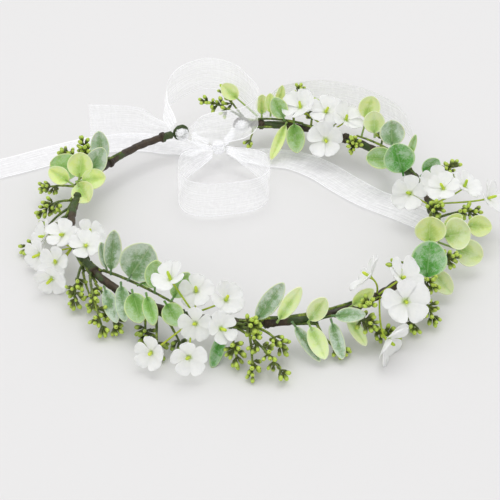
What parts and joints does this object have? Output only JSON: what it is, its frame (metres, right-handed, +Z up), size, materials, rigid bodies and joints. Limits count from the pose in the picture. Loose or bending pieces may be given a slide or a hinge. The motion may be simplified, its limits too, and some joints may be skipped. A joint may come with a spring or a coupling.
{
  "type": "flower crown",
  "caption": "Open wire ring wound with floral tape that carries eucalyptus, berry and white blossom sprays, tied at the back with a sheer ribbon bow.",
  "frame": {"origin": "centre of the ring, on the surface that the crown lies on", "axes": "+Z up out of the ring, +Y towards the open back of the ring and its bow, +X to the right"},
  "size_m": [0.2831, 0.2486, 0.038],
  "materials": {
    "ring_wire": "dull drawn wire",
    "floral_tape": "waxy crepe paper tape, brown",
    "moulded_stem": "matt moulded plastic",
    "eucalyptus_leaf": "printed cloth leaf with a frosted bloom",
    "green_bud": "satin moulded plastic",
    "olive_bud": "satin moulded plastic",
    "white_petal": "soft matt, slightly translucent",
    "lime_centre": "matt moulded plastic",
    "sheer_ribbon": "sheer organza with bright woven edges"
  },
  "bodies": {
    "crown": {"ring_wire": "ring_wire", "ring_tape": "floral_tape", "tape_bindings": "floral_tape", "left_eye": "ring_wire", "right_eye": "ring_wire", "left_eucalyptus_stem": "moulded_stem", "left_eucalyptus_leaves": "eucalyptus_leaf", "front_left_eucalyptus_stem": "moulded_stem", "front_left_eucalyptus_leaves": "eucalyptus_leaf", "front_eucalyptus_stem": "moulded_stem", "front_eucalyptus_leaves": "eucalyptus_leaf", "right_eucalyptus_stem": "moulded_stem", "right_eucalyptus_leaves": "eucalyptus_leaf", "back_right_eucalyptus_stem": "moulded_stem", "back_right_eucalyptus_leaves": "eucalyptus_leaf", "back_eucalyptus_stem": "moulded_stem", "back_eucalyptus_leaves": "eucalyptus_leaf", "left_berry_stems": "moulded_stem", "left_berry_buds": "green_bud", "side_berry_stems": "moulded_stem", "side_berry_buds": "green_bud", "front_left_berry_stems": "moulded_stem", "front_left_berry_buds": "green_bud", "dark_berry_stems": "moulded_stem", "dark_berry_buds": "olive_bud", "front_berry_stems": "moulded_stem", "front_berry_buds": "green_bud", "front_right_berry_stems": "moulded_stem", "front_right_berry_buds": "green_bud", "right_front_berry_stems": "moulded_stem", "right_front_berry_buds": "green_bud", "right_berry_stems": "moulded_stem", "right_berry_buds": "green_bud", "back_right_berry_stems": "moulded_stem", "back_right_berry_buds": "green_bud", "bow_berry_stems": "moulded_stem", "bow_berry_buds": "green_bud", "left_blossom_petals": "white_petal", "left_blossom_centres": "lime_centre", "front_left_blossom_petals": "white_petal", "front_left_blossom_centres": "lime_centre", "front_right_blossom_petals": "white_petal", "front_right_blossom_centres": "lime_centre", "right_blossom_petals": "white_petal", "right_blossom_centres": "lime_centre", "back_right_blossom_petals": "white_petal", "back_right_blossom_centres": "lime_centre", "left_eye_knot": "sheer_ribbon", "right_eye_knot": "sheer_ribbon", "left_strap": "sheer_ribbon", "right_strap": "sheer_ribbon", "bow_knot": "sheer_ribbon"},
    "upper_loop": {"upper_loop": "sheer_ribbon"},
    "lower_loop": {"lower_loop": "sheer_ribbon"},
    "left_tail": {"left_tail": "sheer_ribbon"},
    "right_tail": {"right_tail": "sheer_ribbon"},
    "left_short_end": {"left_short_end": "sheer_ribbon"},
    "right_short_end": {"right_short_end": "sheer_ribbon"}
  },
  "joints": [
    {"name": "upper_loop_lift", "type": "hinge", "parent": "crown", "child": "upper_loop", "pos_m": [-0.018, 0.084, 0.0185], "axis": [0.4512, -0.8924, 0], "range_deg": [0, 16]},
    {"name": "lower_loop_lift", "type": "hinge", "parent": "crown", "child": "lower_loop", "pos_m": [0, 0.074, 0.011], "axis": [-1, 0, 0], "range_deg": [0, 14]},
    {"name": "left_tail_swing", "type": "hinge", "parent": "crown", "child": "left_tail", "pos_m": [0, 0.074, 0.011], "axis": [0, 0, 1], "range_deg": [-8, 5]},
    {"name": "right_tail_swing", "type": "hinge", "parent": "crown", "child": "right_tail", "pos_m": [0, 0.074, 0.011], "axis": [0, 0, 1], "range_deg": [-6, 6]},
    {"name": "left_end_swing", "type": "hinge", "parent": "crown", "child": "left_short_end", "pos_m": [-0.0175, 0.088, 0.014], "axis": [0, 0, 1], "range_deg": [-12, 0]},
    {"name": "right_end_swing", "type": "hinge", "parent": "crown", "child": "right_short_end", "pos_m": [0.0175, 0.088, 0.014], "axis": [0, 0, 1], "range_deg": [0, 9]}
  ]
}
